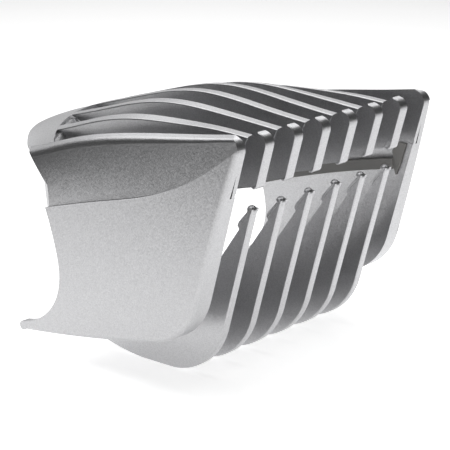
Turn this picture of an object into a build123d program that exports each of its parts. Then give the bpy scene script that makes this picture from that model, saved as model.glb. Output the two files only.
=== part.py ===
from build123d import *
import math
import os

os.makedirs("parts", exist_ok=True)

# Clipper guard comb, millimetres.
# X runs across the comb, -Y is the cutting edge, +Y the open back, +Z up.
# The origin is the bottom centre of the comb as it stands on its lower fins.

# ---- driving dimensions ----------------------------------------------------
PITCH = 6.0              # from one tooth to the next
TEETH = 6                # free teeth between the two side walls
TOP_TOOTH_W = 1.77       # width of an upper tooth and of the roof rib behind it
FIN_W = 1.29             # width of a lower fin
WALL_IN = 19.97          # half the clear width between the end teeth
SKIN = 1.4               # thickness of the moulded side walls and floor
ROOF_SKIN = 1.6          # thickness of the roof at its unslotted back
DEPTH = 49.0             # front teeth to the back of the roof
FRONT_H = 33.75          # top of the flat tooth fronts above the resting plane
LEAN = 15.44             # how far the tooth fronts lean forward, degrees
GAP_END = 8.6            # fin tips, measured down the lean; the blade sits in between
HEAD_R = 1.45            # rounded head of an upper tooth
WALL_HEAD_R = 1.65       # rounded head of a side wall
SLOT_ARC = (16.2, 27.2)  # centre and radius of the arc on which the roof slots end
BACK_ARC_R = 28.2        # plan radius of the roof's back edge
ROOF_SIDE = 21.3         # half width of the roof where the shoulders turn down
TALL = 45.0              # above everything
REACH = 60.0             # longer than everything

SIN = math.sin(math.radians(LEAN))
COS = math.cos(math.radians(LEAN))
EIGHTH = math.pi / 4     # half of a right angle, for the middle of a quarter arc


def leaned(down, back):
    """Side-view point: a distance down the leaning front, and a distance behind it."""
    return (down * SIN + back * COS, FRONT_H - down * COS + back * SIN)


def down_back(point):
    """The reverse of leaned(), for a point of the finished comb."""
    y = point.Y + DEPTH / 2
    z = point.Z - FRONT_H
    return (y * SIN - z * COS, y * COS + z * SIN)


def side_plane(x):
    """Side view at x: local x runs back from the front, local y runs up."""
    return Plane(origin=(x, -DEPTH / 2, 0), x_dir=(0, 1, 0), z_dir=(1, 0, 0))


def cross_plane(y):
    """Cross-section at a distance y behind the front: local x across, local y up."""
    return Plane(origin=(0, y - DEPTH / 2, 0), x_dir=(1, 0, 0), z_dir=(0, -1, 0))


def plan_plane(z):
    """Plan view at height z: local y runs back from the front."""
    return Plane(origin=(0, -DEPTH / 2, z), x_dir=(1, 0, 0), z_dir=(0, 0, 1))


def shifted(part, x):
    """The same piece moved across the comb."""
    with BuildPart() as other:
        with Locations((x, 0, 0)):
            add(part)
    return other.part


def mirrored(part):
    """The same piece on the other side of the comb."""
    with BuildPart() as other:
        add(part)
        mirror(about=Plane.YZ, mode=Mode.REPLACE)
    return other.part


# ---- roof dome -------------------------------------------------------------
# At each station behind the front: the crest's height over the tooth fronts,
# and how fast the roof falls away sideways (height lost = fall * x * x).
ROOF = [
    (2.6, 1.02, 0.0003),
    (4.0, 1.15, 0.0004),
    (9.0, 1.75, 0.0018),
    (14.0, 2.45, 0.0050),
    (20.0, 3.03, 0.0085),
    (26.0, 2.65, 0.0096),
    (33.0, 1.05, 0.0102),
    (41.0, -1.1, 0.0103),
    (50.0, -3.6, 0.0103),
]
DOME_HALF = 25.0
RAMP_TOP = 0.5           # the slots' end ramps start this far under the roof surface


def dome_block(drop):
    """Everything under the roof surface, lowered by drop."""
    with BuildPart() as block:
        for y, crest, fall in ROOF:
            top = FRONT_H + crest - drop
            side = top - fall * DOME_HALF ** 2
            with BuildSketch(cross_plane(y)):
                with BuildLine():
                    ThreePointArc((-DOME_HALF, side), (0, top), (DOME_HALF, side))
                    Polyline((DOME_HALF, side), (DOME_HALF, 1), (-DOME_HALF, 1), (-DOME_HALF, side))
                make_face()
        loft()
    return block.part


def roof_height(x, y):
    """Height of the roof surface, straight between the stations."""
    for (y0, c0, f0), (y1, c1, f1) in zip(ROOF, ROOF[1:]):
        if y0 <= y <= y1:
            t = (y - y0) / (y1 - y0)
            return FRONT_H + c0 + (c1 - c0) * t - (f0 + (f1 - f0) * t) * x ** 2
    return FRONT_H


dome = dome_block(0)
dome_low = dome_block(RAMP_TOP)
dome_inner = dome_block(ROOF_SKIN)

# ---- the roof's back edge ----------------------------------------------------
BACK_HALF = 27.0         # half width of the region that the back arc closes
BACK_CUT_Z = 29.7        # under this height the back edge is cut away forwards
BACK_CUT_ANGLE = 25.0    # and this steeply
BACK_CUT_DEEP = 5.0


def make_back_trim():
    """Everything in front of the roof's back edge: a plan arc, undercut at its ends."""
    centre = DEPTH - BACK_ARC_R
    side = centre + math.sqrt(BACK_ARC_R ** 2 - BACK_HALF ** 2)
    with BuildSketch(plan_plane(BACK_CUT_Z)) as plan:
        with BuildLine():
            ThreePointArc((-BACK_HALF, side), (0, DEPTH), (BACK_HALF, side))
            Polyline((BACK_HALF, side), (BACK_HALF, -5), (-BACK_HALF, -5), (-BACK_HALF, side))
        make_face()
    with BuildPart() as trim:
        extrude(plan.sketch, amount=TALL - BACK_CUT_Z)
        extrude(plan.sketch, amount=-BACK_CUT_DEEP, taper=BACK_CUT_ANGLE)
        lowest = trim.faces().sort_by(Axis.Z)[0]
        extrude(lowest, amount=BACK_CUT_Z - BACK_CUT_DEEP)
    return trim.part


back_trim = make_back_trim()

# ---- side walls ------------------------------------------------------------
# Top edge of the wall at its inner side: distance behind the front, height
# over the tooth fronts. From 26 mm back it runs on as part of the roof dome.
WALL_TOP = [(-1.5, 2.45), (4.0, 1.9), (9.0, 1.25), (14.0, 0.65), (20.0, -0.15)]
WALL_TOP += [(y, crest - fall * WALL_IN ** 2) for y, crest, fall in ROOF[5:]]
SHOULDER_DROP = 12.0     # the shoulder section is drawn this far down, then trimmed
SHOULDER_SPLAY = 0.14    # outward slope of the shoulder
# Side panel sections: distance behind the front, then its half width near the
# top, at mid height and at the bottom.
PANEL = [
    (-1.5, 21.5, 22.8, 22.5),
    (10.0, 22.0, 23.1, 22.9),
    (22.0, 22.6, 23.3, 23.1),
    (34.0, 22.9, 23.45, 23.3),
    (44.0, 22.9, 23.45, 23.4),
]
PANEL_TOP_Z = 36.0
PANEL_MID_Z = 19.0
# The crease between shoulder and panel, in side view.
CREASE = [(-2.5, 36.3), (0.6, 33.9), (6.35, 29.85), (14.5, 26.4), (23.3, 24.25), (33.2, 21.75), (46, 18.4)]
# Back edge of a wall in side view: the shoulder's, then the panel's down to the tail.
SHOULDER_BACK = [(42.0, 30.5), (38.6, 28.3), (37.0, 26.9), (35.6, 25.2), (34.5, 23.2), (33.7, 21.0), (33.2, 18.0)]
PANEL_BACK = [(34.6, 24.7), (33.2, 21.75), (31.4, 16.6), (30.7, 12.0), (31.6, 8.6), (34.8, 5.3), (38.5, 3.95)]
TAIL_TIP = (39.2, 3.2)
TAIL_UNDER = (38.3, 2.65)
BOTTOM_MID = (25.5, 4.25)
CORNER_BACK = (13.06, 6.5)   # lower front corner: where the curve leaves the bottom edge
CORNER_MID = (8.4, 8.75)
CORNER_DOWN = 21.35          # and where it meets the leaning front, measured down it
FRONT_ROUND = 0.6            # rounding of the panel's outer front, corner and bottom edges
CORNER_POINT = Vector(PANEL[1][3], CORNER_MID[0] - DEPTH / 2, CORNER_MID[1])


def wall_outline(back_edge, with_tail):
    """Side view of a wall, open above so that the roof sections set its top."""
    r = WALL_HEAD_R
    front_top = leaned(0, 0)
    corner = leaned(CORNER_DOWN, 0)
    head_mid = leaned(-r * math.sin(EIGHTH), r * (1 - math.cos(EIGHTH)))
    with BuildLine() as outline:
        ThreePointArc(front_top, head_mid, leaned(-r, r))
        Polyline(leaned(-r, r), (2.4, FRONT_H + 2.6), (2.4, TALL), (back_edge[0][0], TALL), back_edge[0])
        Spline(*back_edge)
        if with_tail:
            ThreePointArc(back_edge[-1], TAIL_TIP, TAIL_UNDER)
            ThreePointArc(TAIL_UNDER, BOTTOM_MID, CORNER_BACK)
            ThreePointArc(CORNER_BACK, CORNER_MID, corner)
        else:
            Line(back_edge[-1], corner)
        Line(corner, front_top)
    return outline.line


def crease_region(far):
    """Side view of everything between the crease and the height far."""
    with BuildLine() as region:
        Spline(*CREASE)
        Polyline(CREASE[-1], (CREASE[-1][0], far), (CREASE[0][0], far), CREASE[0])
    return region.line


shoulder_outline = wall_outline(SHOULDER_BACK, with_tail=False)
panel_outline = wall_outline(PANEL_BACK, with_tail=True)
over_crease = crease_region(TALL)
under_crease = crease_region(-1)


def shoulder_section(y, rise):
    """Cross-section of the shoulder's skin, turning down more gently towards the back."""
    back = max(y, 0) / 40
    top = FRONT_H + rise
    edge = top - 0.35 - 0.5 * back
    low = edge - SHOULDER_DROP
    low_x = ROOF_SIDE + SHOULDER_SPLAY * SHOULDER_DROP
    bulge = 0.1 + 0.6 * back ** 2
    mid = ((ROOF_SIDE + low_x) / 2 + bulge, (edge + low) / 2)
    with BuildSketch(cross_plane(y)) as section:
        with BuildLine():
            Line((WALL_IN, top), (ROOF_SIDE, edge))
            ThreePointArc((ROOF_SIDE, edge), mid, (low_x, low))
            Polyline((low_x, low), (low_x - SKIN, low), (WALL_IN, top - SKIN), (WALL_IN, top))
        make_face()
        turn = section.vertices().sort_by_distance((ROOF_SIDE, edge, 0))[0]
        fillet(turn, radius=0.5 + 1.7 * min(back, 0.75))
    return section.sketch


def make_shoulder():
    """The right-hand shoulder: a thin skin from the roof edge down to the crease."""
    sections = [shoulder_section(y, rise) for y, rise in WALL_TOP]
    with BuildPart() as shoulder:
        loft(sections)
        with BuildSketch(side_plane(WALL_IN - 1)):
            make_face(shoulder_outline)
            make_face(over_crease, mode=Mode.INTERSECT)
        extrude(amount=8, mode=Mode.INTERSECT)
        add(back_trim, mode=Mode.INTERSECT)
    return shoulder.part


def make_sharp_panel():
    """The right-hand side panel below the crease, with its pointed tail, all edges sharp."""
    with BuildPart() as panel:
        for y, top_x, mid_x, low_x in PANEL:
            with BuildSketch(cross_plane(y)):
                with BuildLine():
                    ThreePointArc((top_x, PANEL_TOP_Z), (mid_x, PANEL_MID_Z), (low_x, 0))
                    Line((low_x, 0), (low_x - SKIN, 0))
                    ThreePointArc((low_x - SKIN, 0), (mid_x - SKIN, PANEL_MID_Z), (top_x - SKIN, PANEL_TOP_Z))
                    Line((top_x - SKIN, PANEL_TOP_Z), (top_x, PANEL_TOP_Z))
                make_face()
        loft()
        with BuildSketch(side_plane(WALL_IN - 1)):
            make_face(panel_outline)
            make_face(under_crease, mode=Mode.INTERSECT)
        extrude(amount=8, mode=Mode.INTERSECT)
    return panel.part


def make_side_panel():
    """The side panel with its outer front, corner and bottom edges rounded."""
    with BuildPart() as panel:
        add(sharp_panel)
        outer = panel.faces().sort_by(Axis.X)[-1]
        front = [e for e in outer.edges() if abs(down_back(e @ 0.5)[1]) < 0.1]
        corner = [e for e in outer.edges() if (e @ 0.5 - CORNER_POINT).length < 3]
        under = [e for e in outer.edges() if (e @ 0.5).Z < 5.5 and e.length > 15]
        fillet(front + corner + under, radius=FRONT_ROUND)
    return panel.part


shoulder = make_shoulder()
sharp_panel = make_sharp_panel()
side_panel = make_side_panel()

# ---- upper teeth and roof ribs ----------------------------------------------
# Side-view points of a tooth are (down, back) on the leaning front.
LIP_FROM = (5.25, 0.0)       # the lower lip's rounding, from the flat front
LIP_MID = (5.85, 0.14)
LIP_TO = (6.12, 0.55)
SEAT_FRONT = (6.0, 0.9)      # the blade seat under the teeth runs back from here
SEAT_BACK = (8.05, 4.6)
DIP = (3.0, FRONT_H + 1.05)  # where an upper tooth's head meets the rib top
RIB_FLOOR = [(20.0, 24.75), (30.0, 26.5), (39.0, 30.6), (46.0, 33.0)]
BEAD = 0.3                   # depth of the thicker bead along a tooth's front
BEAD_FROM = 1.9              # and round its head, where it is this deep at the top
BEAD_STEP = 0.12             # how far the bead stands proud of each side of the tooth
BEAD_EDGE = 0.12             # bevel along all side edges of the bead
RIB_ROUND = 0.2              # rounding of a rib's top


def tooth_side():
    """Side view of an upper tooth: flat front, rounded head, lip and blade seat."""
    r = HEAD_R
    head_mid = leaned(-r * math.sin(EIGHTH), r * (1 - math.cos(EIGHTH)))
    head_top = leaned(-r, r)
    head_back = leaned(-r, BEAD_FROM)
    with BuildLine() as side:
        ThreePointArc(leaned(0, 0), head_mid, head_top)
        Polyline(head_top, head_back, DIP, leaned(*SEAT_BACK), leaned(*SEAT_FRONT), leaned(*LIP_TO))
        ThreePointArc(leaned(*LIP_TO), leaned(*LIP_MID), leaned(*LIP_FROM))
        Line(leaned(*LIP_FROM), leaned(0, 0))
    return side.line


def bead_side(head_r):
    """Side view of the thicker bead along a tooth's front and round its head."""
    r = head_r
    head_mid = leaned(-r * math.sin(EIGHTH), r * (1 - math.cos(EIGHTH)))
    with BuildLine() as side:
        ThreePointArc(leaned(0, 0), head_mid, leaned(-r, r))
        Polyline(leaned(-r, r), leaned(-r, BEAD_FROM), leaned(0.3, 0.92))
        ThreePointArc(leaned(0.3, 0.92), leaned(1.1, 0.52), leaned(2.4, BEAD))
        Line(leaned(2.4, BEAD), leaned(5.1, BEAD))
        ThreePointArc(leaned(5.1, BEAD), leaned(5.6, 0.5), leaned(*SEAT_FRONT))
        Line(leaned(*SEAT_FRONT), leaned(*LIP_TO))
        ThreePointArc(leaned(*LIP_TO), leaned(*LIP_MID), leaned(*LIP_FROM))
        Line(leaned(*LIP_FROM), leaned(0, 0))
    return side.line


plate_profile = tooth_side()
bead_profile = bead_side(HEAD_R)


def make_upper_tooth():
    """A free upper tooth on the middle plane: a plate with a slightly thicker front bead."""
    with BuildPart() as bead:
        with BuildSketch(side_plane(0)):
            make_face(bead_profile)
        extrude(amount=TOP_TOOTH_W / 2, both=True)
        chamfer(bead.faces().filter_by(Axis.X).edges(), length=BEAD_EDGE)
    with BuildPart() as tooth:
        with BuildSketch(side_plane(0)):
            make_face(plate_profile)
            make_face(bead_profile, mode=Mode.SUBTRACT)
        extrude(amount=TOP_TOOTH_W / 2 - BEAD_STEP, both=True)
        add(bead)
    return tooth.part


def rib_side():
    """Side view of a roof rib, drawn taller than the roof and trimmed to it later."""
    with BuildLine() as side:
        Line(DIP, leaned(*SEAT_BACK))
        Line(leaned(*SEAT_BACK), RIB_FLOOR[0])
        Spline(*RIB_FLOOR, tangents=((1, -0.18), (1, 0.3)))
        Polyline(RIB_FLOOR[-1], (RIB_FLOOR[-1][0], TALL), (DIP[0], TALL), DIP)
    return side.line


def make_slot_block():
    """Upright cylinder whose side ends the roof slots."""
    with BuildPart() as block:
        with BuildSketch(plan_plane(0)):
            with Locations((0, SLOT_ARC[0])):
                Circle(SLOT_ARC[1])
        extrude(amount=TALL)
    return block.part


rib_profile = rib_side()
slot_block = make_slot_block()


def make_roof_rib(x):
    """The arched rib behind an upper tooth, as far as the end of the roof slots."""
    with BuildPart() as rib:
        with BuildSketch(side_plane(x)):
            make_face(rib_profile)
        extrude(amount=TOP_TOOTH_W / 2, both=True)
        add(dome, mode=Mode.INTERSECT)
        add(slot_block, mode=Mode.INTERSECT)
        top = rib.faces().sort_by(Axis.Z)[-1]
        fillet([e for e in top.edges() if e.length > 5], radius=RIB_ROUND)
    return rib.part


# ---- roof crown --------------------------------------------------------------
RAMP_BACK = 1.5          # each slot ends in a short ramp, let into the crown this far
RAMP_RUN = 1.2
RAMP_DEPTH = 1.7


def slot_spans():
    """Left and right side of every roof slot."""
    edges = [-WALL_IN]
    for k in range(TEETH):
        x = (k - (TEETH - 1) / 2) * PITCH
        edges += [x - TOP_TOOTH_W / 2, x + TOP_TOOTH_W / 2]
    edges.append(WALL_IN)
    return list(zip(edges[0::2], edges[1::2]))


def make_ramp(left, right):
    """The sloping floor at the back end of one roof slot."""
    x = (left + right) / 2
    y = SLOT_ARC[0] + math.sqrt(SLOT_ARC[1] ** 2 - x ** 2)
    z = roof_height(x, y)
    with BuildPart() as ramp:
        with BuildSketch(side_plane(left)):
            Polygon(
                (y + RAMP_BACK, z + 1), (y, z - RAMP_TOP), (y - RAMP_RUN, z - RAMP_DEPTH),
                (y + RAMP_BACK, z - RAMP_DEPTH), align=None,
            )
        extrude(amount=right - left)
        add(dome_low, mode=Mode.INTERSECT)
    return ramp.part


def make_roof_crown():
    """The unslotted back of the roof, with the ramps that end the slots."""
    ramps = [make_ramp(left, right) for left, right in slot_spans()]
    with BuildPart() as crown:
        add(dome)
        add(dome_inner, mode=Mode.SUBTRACT)
        with BuildSketch(plan_plane(0)):
            with Locations((0, SLOT_ARC[0] + REACH / 2)):
                Rectangle(2 * WALL_IN, REACH)
            with Locations((0, SLOT_ARC[0])):
                Circle(SLOT_ARC[1], mode=Mode.SUBTRACT)
        extrude(amount=TALL, mode=Mode.INTERSECT)
        add(back_trim, mode=Mode.INTERSECT)
        add(ramps)
    return crown.part


# ---- lower fins, belly -------------------------------------------------------
# (down, back) points of a fin's short back slope behind its tip, the notch under
# it and the long inner edge.
FIN_TIP_BACK = [(8.96, 0.43), (11.36, 1.62), (11.96, 1.68), (12.37, 1.34), (17.0, 3.04)]
FIN_RIDGE = [(8.9, 0.0), (8.96, 0.43), (11.36, 1.62), (11.96, 1.68), (12.1, 1.45), (11.5, 1.3), (9.4, 0.25), (9.4, 0.0)]
RIDGE_STEP = 0.09        # the ridge along the back slope stands proud of the fin by this
FIN_INNER_END = (12.8, 10.5)
FIN_FRONT_END = 26.8     # the flat front of a fin ends here, measured down the lean
FIN_CURVE_MID = (10.94, 2.09)
BELLY_FLAT = (17.2, 22.5)    # the fins stand on this stretch
FIN_END = (31.6, 1.75)
FIN_END_MID = (27.0, 0.55)
BELLY_TOP = (7.8, 6.6)   # height of the cavity floor at its front and back
BELLY_FROM = 16.0
BELLY_TO = 31.6
BELLY_HALF = 22.3        # the floor is drawn this wide, then trimmed by the side panels
TIP_R = 0.68             # rounded bead at a fin's tip
TIP_BACK = 0.5
FIN_EDGE = 0.14          # bevel along the outer edge of a fin


def fin_side():
    """Side view of a lower fin: hooked tip, steep inner edge, large lower curve."""
    tip = leaned(GAP_END + 0.35, 0)
    plate_front = (BELLY_FROM, BELLY_TOP[0])
    under_front = (BELLY_FROM, BELLY_TOP[0] - SKIN)
    under_back = (BELLY_TO, BELLY_TOP[1] - SKIN)
    start = leaned(FIN_FRONT_END, 0)
    flat_front = (BELLY_FLAT[0], 0)
    flat_back = (BELLY_FLAT[1], 0)
    with BuildLine() as side:
        Polyline(tip, *[leaned(down, back) for down, back in FIN_TIP_BACK], FIN_INNER_END)
        TangentArc(FIN_INNER_END, plate_front, tangent=(0.573, -0.82))
        Polyline(plate_front, under_front, under_back, FIN_END)
        ThreePointArc(FIN_END, FIN_END_MID, flat_back)
        Line(flat_back, flat_front)
        ThreePointArc(flat_front, FIN_CURVE_MID, start)
        Line(start, tip)
    return side.line


fin_profile = fin_side()


def make_lower_fin():
    """A lower fin on the middle plane, with a rounded bead at its tip and a ridge behind it."""
    tip_y, tip_z = leaned(GAP_END + TIP_R, TIP_BACK)
    with BuildPart() as fin:
        with BuildSketch(side_plane(0)):
            make_face(fin_profile)
        extrude(amount=FIN_W / 2, both=True)
        sides = fin.faces().filter_by(Axis.X).edges()
        outer = [e for e in sides if down_back(e @ 0.5)[1] < 0.1 or ((e @ 0.5).Z < 3 and e.length > 5.5)]
        chamfer(outer, length=FIN_EDGE)
        with BuildSketch(side_plane(0)):
            Polygon(*[leaned(down, back) for down, back in FIN_RIDGE], align=None)
        extrude(amount=FIN_W / 2 + RIDGE_STEP, both=True)
        with Locations((0, tip_y - DEPTH / 2, tip_z)):
            Sphere(TIP_R)
    return fin.part


def make_belly():
    """The cavity floor that ties the fins to both side walls."""
    left_panel = mirrored(sharp_panel)
    with BuildPart() as belly:
        with BuildSketch(side_plane(-BELLY_HALF)):
            Polygon(
                (BELLY_FROM, BELLY_TOP[0]), (BELLY_TO, BELLY_TOP[1]),
                (BELLY_TO, BELLY_TOP[1] - SKIN), (BELLY_FROM, BELLY_TOP[0] - SKIN),
                align=None,
            )
        extrude(amount=2 * BELLY_HALF)
        add(sharp_panel, mode=Mode.SUBTRACT)
        add(left_panel, mode=Mode.SUBTRACT)
    return belly.part


# ---- pieces on the inner faces of the walls -----------------------------------
RIM_TOP = (6.15, 0.9)    # (down, back) where the front rim starts under the end tooth
RIM_INNER = [(13.6, 7.3), (10.9, 10.4), leaned(18.2, 2.7), leaned(13.4, 1.4), leaned(9.9, 1.0), leaned(*RIM_TOP)]
RAIL_IN = 19.35          # half the clear width between the guide rails
RAIL_TOP = [(4.85, 25.25), (13.2, 23.6), (28.5, 19.4)]
RAIL_LOW = [(4.6, 23.85), (13.6, 22.0), (28.5, 17.9)]
STOP_IN = 19.7           # half the clear width between the stop pads
STOP_FRONT = [(6.5, 1.0), (6.75, 2.4), (8.4, 2.9), (9.15, 2.45)]    # (down, back)
STOP_FOOT = [(11.6, 1.3), (9.9, 1.04), (6.5, 1.0)]
EDGE_RIB_OUT = 20.7      # the edge rib ends inside the shoulder
EDGE_RIB_DROP = 0.9      # and its top lies this far under the shoulder's
EDGE_RIB_BACK = (30.0, 26.2)
WALL_DEEP = 22.1         # other inner pieces are drawn this far out, then trimmed by the skin


def trimmed_to_wall(side, x_from):
    """Extrude a side view out into the right-hand wall and trim it by the skin."""
    with BuildPart() as piece:
        with BuildSketch(side_plane(x_from)):
            make_face(side)
        extrude(amount=WALL_DEEP - x_from)
        add(shoulder, mode=Mode.SUBTRACT)
        add(sharp_panel, mode=Mode.SUBTRACT)
    return piece.part


def make_front_rim():
    """The rim that thickens a side wall along its front and round its lower corner."""
    top = leaned(RIM_TOP[0], 0)
    corner = leaned(CORNER_DOWN, 0)
    with BuildLine() as side:
        Line(top, corner)
        ThreePointArc(corner, CORNER_MID, CORNER_BACK)
        Line(CORNER_BACK, RIM_INNER[0])
        Spline(*RIM_INNER)
        Line(RIM_INNER[-1], top)
    return trimmed_to_wall(side.line, WALL_IN)


def make_guide_rail():
    """The rail that the clipper head slides on."""
    with BuildLine() as side:
        ThreePointArc(*RAIL_TOP)
        Line(RAIL_TOP[-1], RAIL_LOW[-1])
        ThreePointArc(*reversed(RAIL_LOW))
        Line(RAIL_LOW[0], RAIL_TOP[0])
    return trimmed_to_wall(side.line, RAIL_IN)


def make_stop_pad():
    """The pad behind the front rim that stops the clipper head."""
    front = [leaned(down, back) for down, back in STOP_FRONT]
    foot = [leaned(down, back) for down, back in STOP_FOOT]
    with BuildLine() as side:
        Polyline(*front, RAIL_TOP[0], RAIL_LOW[0], *foot)
    return trimmed_to_wall(side.line, STOP_IN)


def make_edge_rib():
    """The rib and end tooth along the upper inner edge of a side wall."""
    top = [(y, FRONT_H + rise - EDGE_RIB_DROP) for y, rise in WALL_TOP[:-1]]
    with BuildPart() as rib:
        with BuildSketch(side_plane(WALL_IN + BEAD_STEP)):
            with BuildLine():
                Polyline(
                    *top, (top[-1][0], top[-1][1] - 0.5), EDGE_RIB_BACK,
                    RIB_FLOOR[0], leaned(*SEAT_BACK), leaned(RIM_TOP[0], 0.5), leaned(RIM_TOP[0], -3), top[0],
                )
            make_face()
            make_face(shoulder_outline, mode=Mode.INTERSECT)
        extrude(amount=EDGE_RIB_OUT - WALL_IN - BEAD_STEP)
        with BuildSketch(side_plane(WALL_IN)):
            make_face(bead_side(WALL_HEAD_R))
        extrude(amount=BEAD_STEP)
        add(slot_block, mode=Mode.INTERSECT)
        add(shoulder, mode=Mode.SUBTRACT)
        add(sharp_panel, mode=Mode.SUBTRACT)
        add(front_rim, mode=Mode.SUBTRACT)
    return rib.part


# ---- build and write ---------------------------------------------------------
def write(part, name):
    """Label a finished piece and write it as its own STEP file."""
    part.label = name
    export_step(part, f"parts/{name}.step")


def write_pair(part, name):
    """Write the right-hand piece and its mirror image."""
    write(part, f"right_{name}")
    write(mirrored(part), f"left_{name}")


front_rim = make_front_rim()
write_pair(shoulder, "shoulder")
write_pair(side_panel, "side_panel")
write_pair(front_rim, "front_rim")
write_pair(make_edge_rib(), "edge_rib")
write_pair(make_guide_rail(), "guide_rail")
write_pair(make_stop_pad(), "stop_pad")
write(make_roof_crown(), "roof_crown")
write(make_belly(), "belly_floor")
upper_tooth = make_upper_tooth()
lower_fin = make_lower_fin()
for k in range(TEETH):
    x = (k - (TEETH - 1) / 2) * PITCH
    write(shifted(upper_tooth, x), f"upper_tooth_{k + 1}")
    write(shifted(lower_fin, x), f"lower_fin_{k + 1}")
for k in range(TEETH // 2):
    rib = make_roof_rib((k - (TEETH - 1) / 2) * PITCH)
    write(rib, f"roof_rib_{k + 1}")
    write(mirrored(rib), f"roof_rib_{TEETH - k}")
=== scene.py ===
import math

import bpy
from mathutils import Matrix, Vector


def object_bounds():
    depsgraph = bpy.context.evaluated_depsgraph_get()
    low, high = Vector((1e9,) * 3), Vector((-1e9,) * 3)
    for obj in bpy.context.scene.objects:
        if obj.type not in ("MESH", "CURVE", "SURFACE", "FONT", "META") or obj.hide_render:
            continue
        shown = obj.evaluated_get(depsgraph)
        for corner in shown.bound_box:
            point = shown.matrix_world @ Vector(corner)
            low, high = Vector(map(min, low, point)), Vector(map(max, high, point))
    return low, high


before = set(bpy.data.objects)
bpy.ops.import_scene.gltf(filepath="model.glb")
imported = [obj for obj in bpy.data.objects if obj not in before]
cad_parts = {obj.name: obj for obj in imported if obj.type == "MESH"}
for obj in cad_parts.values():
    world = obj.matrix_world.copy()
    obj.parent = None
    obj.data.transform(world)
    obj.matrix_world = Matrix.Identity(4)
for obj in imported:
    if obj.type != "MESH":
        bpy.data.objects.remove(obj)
low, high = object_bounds()

# ---- camera ------------------------------------------------------------------
# A long lens close to a corner of the comb, looking slightly down on it.
CAMERA_AT = (-0.16861, -0.14822, 0.07895)
AZIMUTH = math.radians(-49.482)
ELEVATION = math.radians(15.715)
LENS = 127.0
SENSOR = 36.0
NEAREST = 0.01
FARTHEST = 20.0

# ---- finishes ----------------------------------------------------------------
SILVER_DARK = (0.47, 0.47, 0.48, 1)     # the dullest and the brightest flakes
SILVER_BRIGHT = (0.61, 0.61, 0.62, 1)
FLAKES_PER_METRE = 9000.0
FLAKE_TILT = 0.10        # how far a flake leans, as a share of the normal
SILVER_METALLIC = 0.95
SILVER_ROUGHNESS = 0.36
BARE_PLASTIC = (0.27, 0.265, 0.255, 1)
BARE_ROUGHNESS = 0.6
BARE_PIECES = ("guide_rail", "stop_pad")
GRAIN_PER_METRE = 1500.0
GRAIN_STRENGTH = 0.15
GRAIN_DEPTH = 0.0001
FLOOR_WHITE = (0.92, 0.92, 0.92, 1)
FLOOR_ROUGHNESS = 0.9
FLOOR_PAINTED_GLOW = 0.8         # painted light: the floor under the comb glows, less and less out to this distance (m), washing out its shadow
PAINTED_GLOW_RADIUS = 0.38       # less and less out to this distance (m)

# ---- floor and lights: a light's place, its size in metres, its power in watts --
FLOOR_SIZE = 6.0
AIM = (0.0, 0.0, 0.02)
ROOM_LIGHT = 0.03
TOP_BOX = ((0.12, 0.16, 0.65), (0.95, 0.95), 5.6)
BACK_PANEL = ((0.52, 0.45, 0.32), (1.0, 0.6), 1.1)


def add_camera():
    """The camera at the comb's front left, aimed by its azimuth and elevation."""
    data = bpy.data.cameras.new("camera")
    data.lens = LENS
    data.sensor_width = SENSOR
    data.clip_start = NEAREST
    data.clip_end = FARTHEST
    camera = bpy.data.objects.new("camera", data)
    bpy.context.scene.collection.objects.link(camera)
    camera.location = CAMERA_AT
    camera.rotation_euler = (math.pi / 2 - ELEVATION, 0, AZIMUTH)
    bpy.context.scene.camera = camera


# ---- materials ---------------------------------------------------------------
def node_material(name):
    """An empty node material and its Principled shader."""
    material = bpy.data.materials.new(name)
    material.use_nodes = True
    return material, material.node_tree.nodes["Principled BSDF"]


def vector_math(material, operation, first, second):
    """A vector operation on an output and either another output or a constant."""
    node = material.node_tree.nodes.new("ShaderNodeVectorMath")
    node.operation = operation
    material.node_tree.links.new(first, node.inputs[0])
    if isinstance(second, tuple):
        node.inputs[1].default_value = second
    else:
        material.node_tree.links.new(second, node.inputs[1])
    return node.outputs["Vector"]


def silver_paint():
    """Metallic silver paint: fine flakes that differ in brightness and in tilt."""
    material, shader = node_material("silver_paint")
    nodes, links = material.node_tree.nodes, material.node_tree.links
    place = nodes.new("ShaderNodeTexCoord")
    flakes = nodes.new("ShaderNodeTexVoronoi")
    flakes.inputs["Scale"].default_value = FLAKES_PER_METRE
    links.new(place.outputs["Object"], flakes.inputs["Vector"])
    tone = nodes.new("ShaderNodeValToRGB")
    tone.color_ramp.elements[0].color = SILVER_DARK
    tone.color_ramp.elements[1].color = SILVER_BRIGHT
    links.new(flakes.outputs["Color"], tone.inputs["Fac"])
    links.new(tone.outputs["Color"], shader.inputs["Base Color"])
    surface = nodes.new("ShaderNodeNewGeometry")
    lean = vector_math(material, "SUBTRACT", flakes.outputs["Color"], (0.5, 0.5, 0.5))
    lean = vector_math(material, "MULTIPLY", lean, (FLAKE_TILT,) * 3)
    leaning = vector_math(material, "ADD", surface.outputs["Normal"], lean)
    links.new(leaning, shader.inputs["Normal"])
    shader.inputs["Metallic"].default_value = SILVER_METALLIC
    shader.inputs["Roughness"].default_value = SILVER_ROUGHNESS
    return material


def bare_plastic():
    """The unpainted plastic of the faces that the clipper head rubs on."""
    material, shader = node_material("bare_plastic")
    nodes, links = material.node_tree.nodes, material.node_tree.links
    place = nodes.new("ShaderNodeTexCoord")
    grain = nodes.new("ShaderNodeTexNoise")
    grain.inputs["Scale"].default_value = GRAIN_PER_METRE
    links.new(place.outputs["Object"], grain.inputs["Vector"])
    bump = nodes.new("ShaderNodeBump")
    bump.inputs["Strength"].default_value = GRAIN_STRENGTH
    bump.inputs["Distance"].default_value = GRAIN_DEPTH
    links.new(grain.outputs["Fac"], bump.inputs["Height"])
    links.new(bump.outputs["Normal"], shader.inputs["Normal"])
    shader.inputs["Base Color"].default_value = BARE_PLASTIC
    shader.inputs["Roughness"].default_value = BARE_ROUGHNESS
    return material


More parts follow.
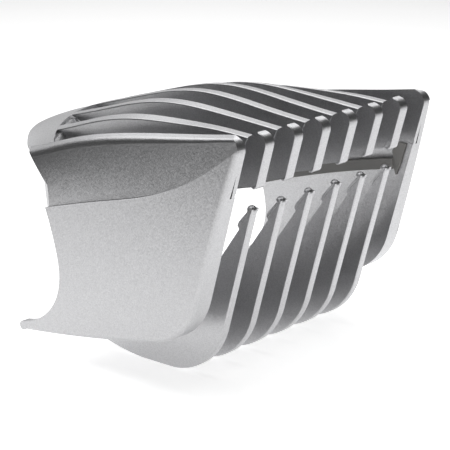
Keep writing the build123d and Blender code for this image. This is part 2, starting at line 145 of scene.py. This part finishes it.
def white_floor():
    """A plain white table with a painted glow round the comb, fading outward, that washes
    out its shadow.
    """
    material, shader = node_material("floor")
    shader.inputs["Base Color"].default_value = FLOOR_WHITE
    shader.inputs["Roughness"].default_value = FLOOR_ROUGHNESS
    # painted light: the floor emits white light, strongest under the comb and fading
    # outward
    shader.inputs["Emission Color"].default_value = FLOOR_WHITE
    place = material.node_tree.nodes.new("ShaderNodeTexCoord")
    scale = (1 / PAINTED_GLOW_RADIUS,) * 3
    spread = vector_math(material, "MULTIPLY", place.outputs["Object"], scale)
    fade = material.node_tree.nodes.new("ShaderNodeTexGradient")
    fade.gradient_type = "SPHERICAL"
    material.node_tree.links.new(spread, fade.inputs["Vector"])
    glow = material.node_tree.nodes.new("ShaderNodeMath")
    glow.operation = "MULTIPLY"
    glow.inputs[1].default_value = FLOOR_PAINTED_GLOW
    material.node_tree.links.new(fade.outputs["Fac"], glow.inputs[0])
    material.node_tree.links.new(glow.outputs["Value"], shader.inputs["Emission Strength"])
    return material


def paint_nodes():
    """Silver paint on every piece but the rails and pads, which are bare."""
    paint = silver_paint()
    bare = bare_plastic()
    for name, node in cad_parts.items():
        for slot in node.material_slots:
            slot.material = bare if name.endswith(BARE_PIECES) else paint


# ---- stage and lights ----------------------------------------------------------
def add_floor():
    bpy.ops.mesh.primitive_plane_add(size=FLOOR_SIZE, location=(0, 0, low.z))
    floor = bpy.context.object
    floor.name = "floor"
    floor.data.materials.append(white_floor())


def add_area(name, place, size, power):
    """A soft rectangular light aimed at the comb."""
    data = bpy.data.lights.new(name, "AREA")
    data.shape = "RECTANGLE"
    data.size, data.size_y = size
    data.energy = power
    light = bpy.data.objects.new(name, data)
    bpy.context.scene.collection.objects.link(light)
    light.location = place
    light.rotation_euler = (Vector(AIM) - Vector(place)).to_track_quat("-Z", "Y").to_euler()


def set_world():
    world = bpy.data.worlds.new("world")
    world.use_nodes = True
    background = world.node_tree.nodes["Background"]
    background.inputs["Color"].default_value = (1, 1, 1, 1)
    background.inputs["Strength"].default_value = ROOM_LIGHT
    bpy.context.scene.world = world


bpy.context.scene.view_settings.view_transform = "Standard"
add_camera()
paint_nodes()
add_floor()
set_world()
add_area("top_box", *TOP_BOX)
add_area("back_panel", *BACK_PANEL)
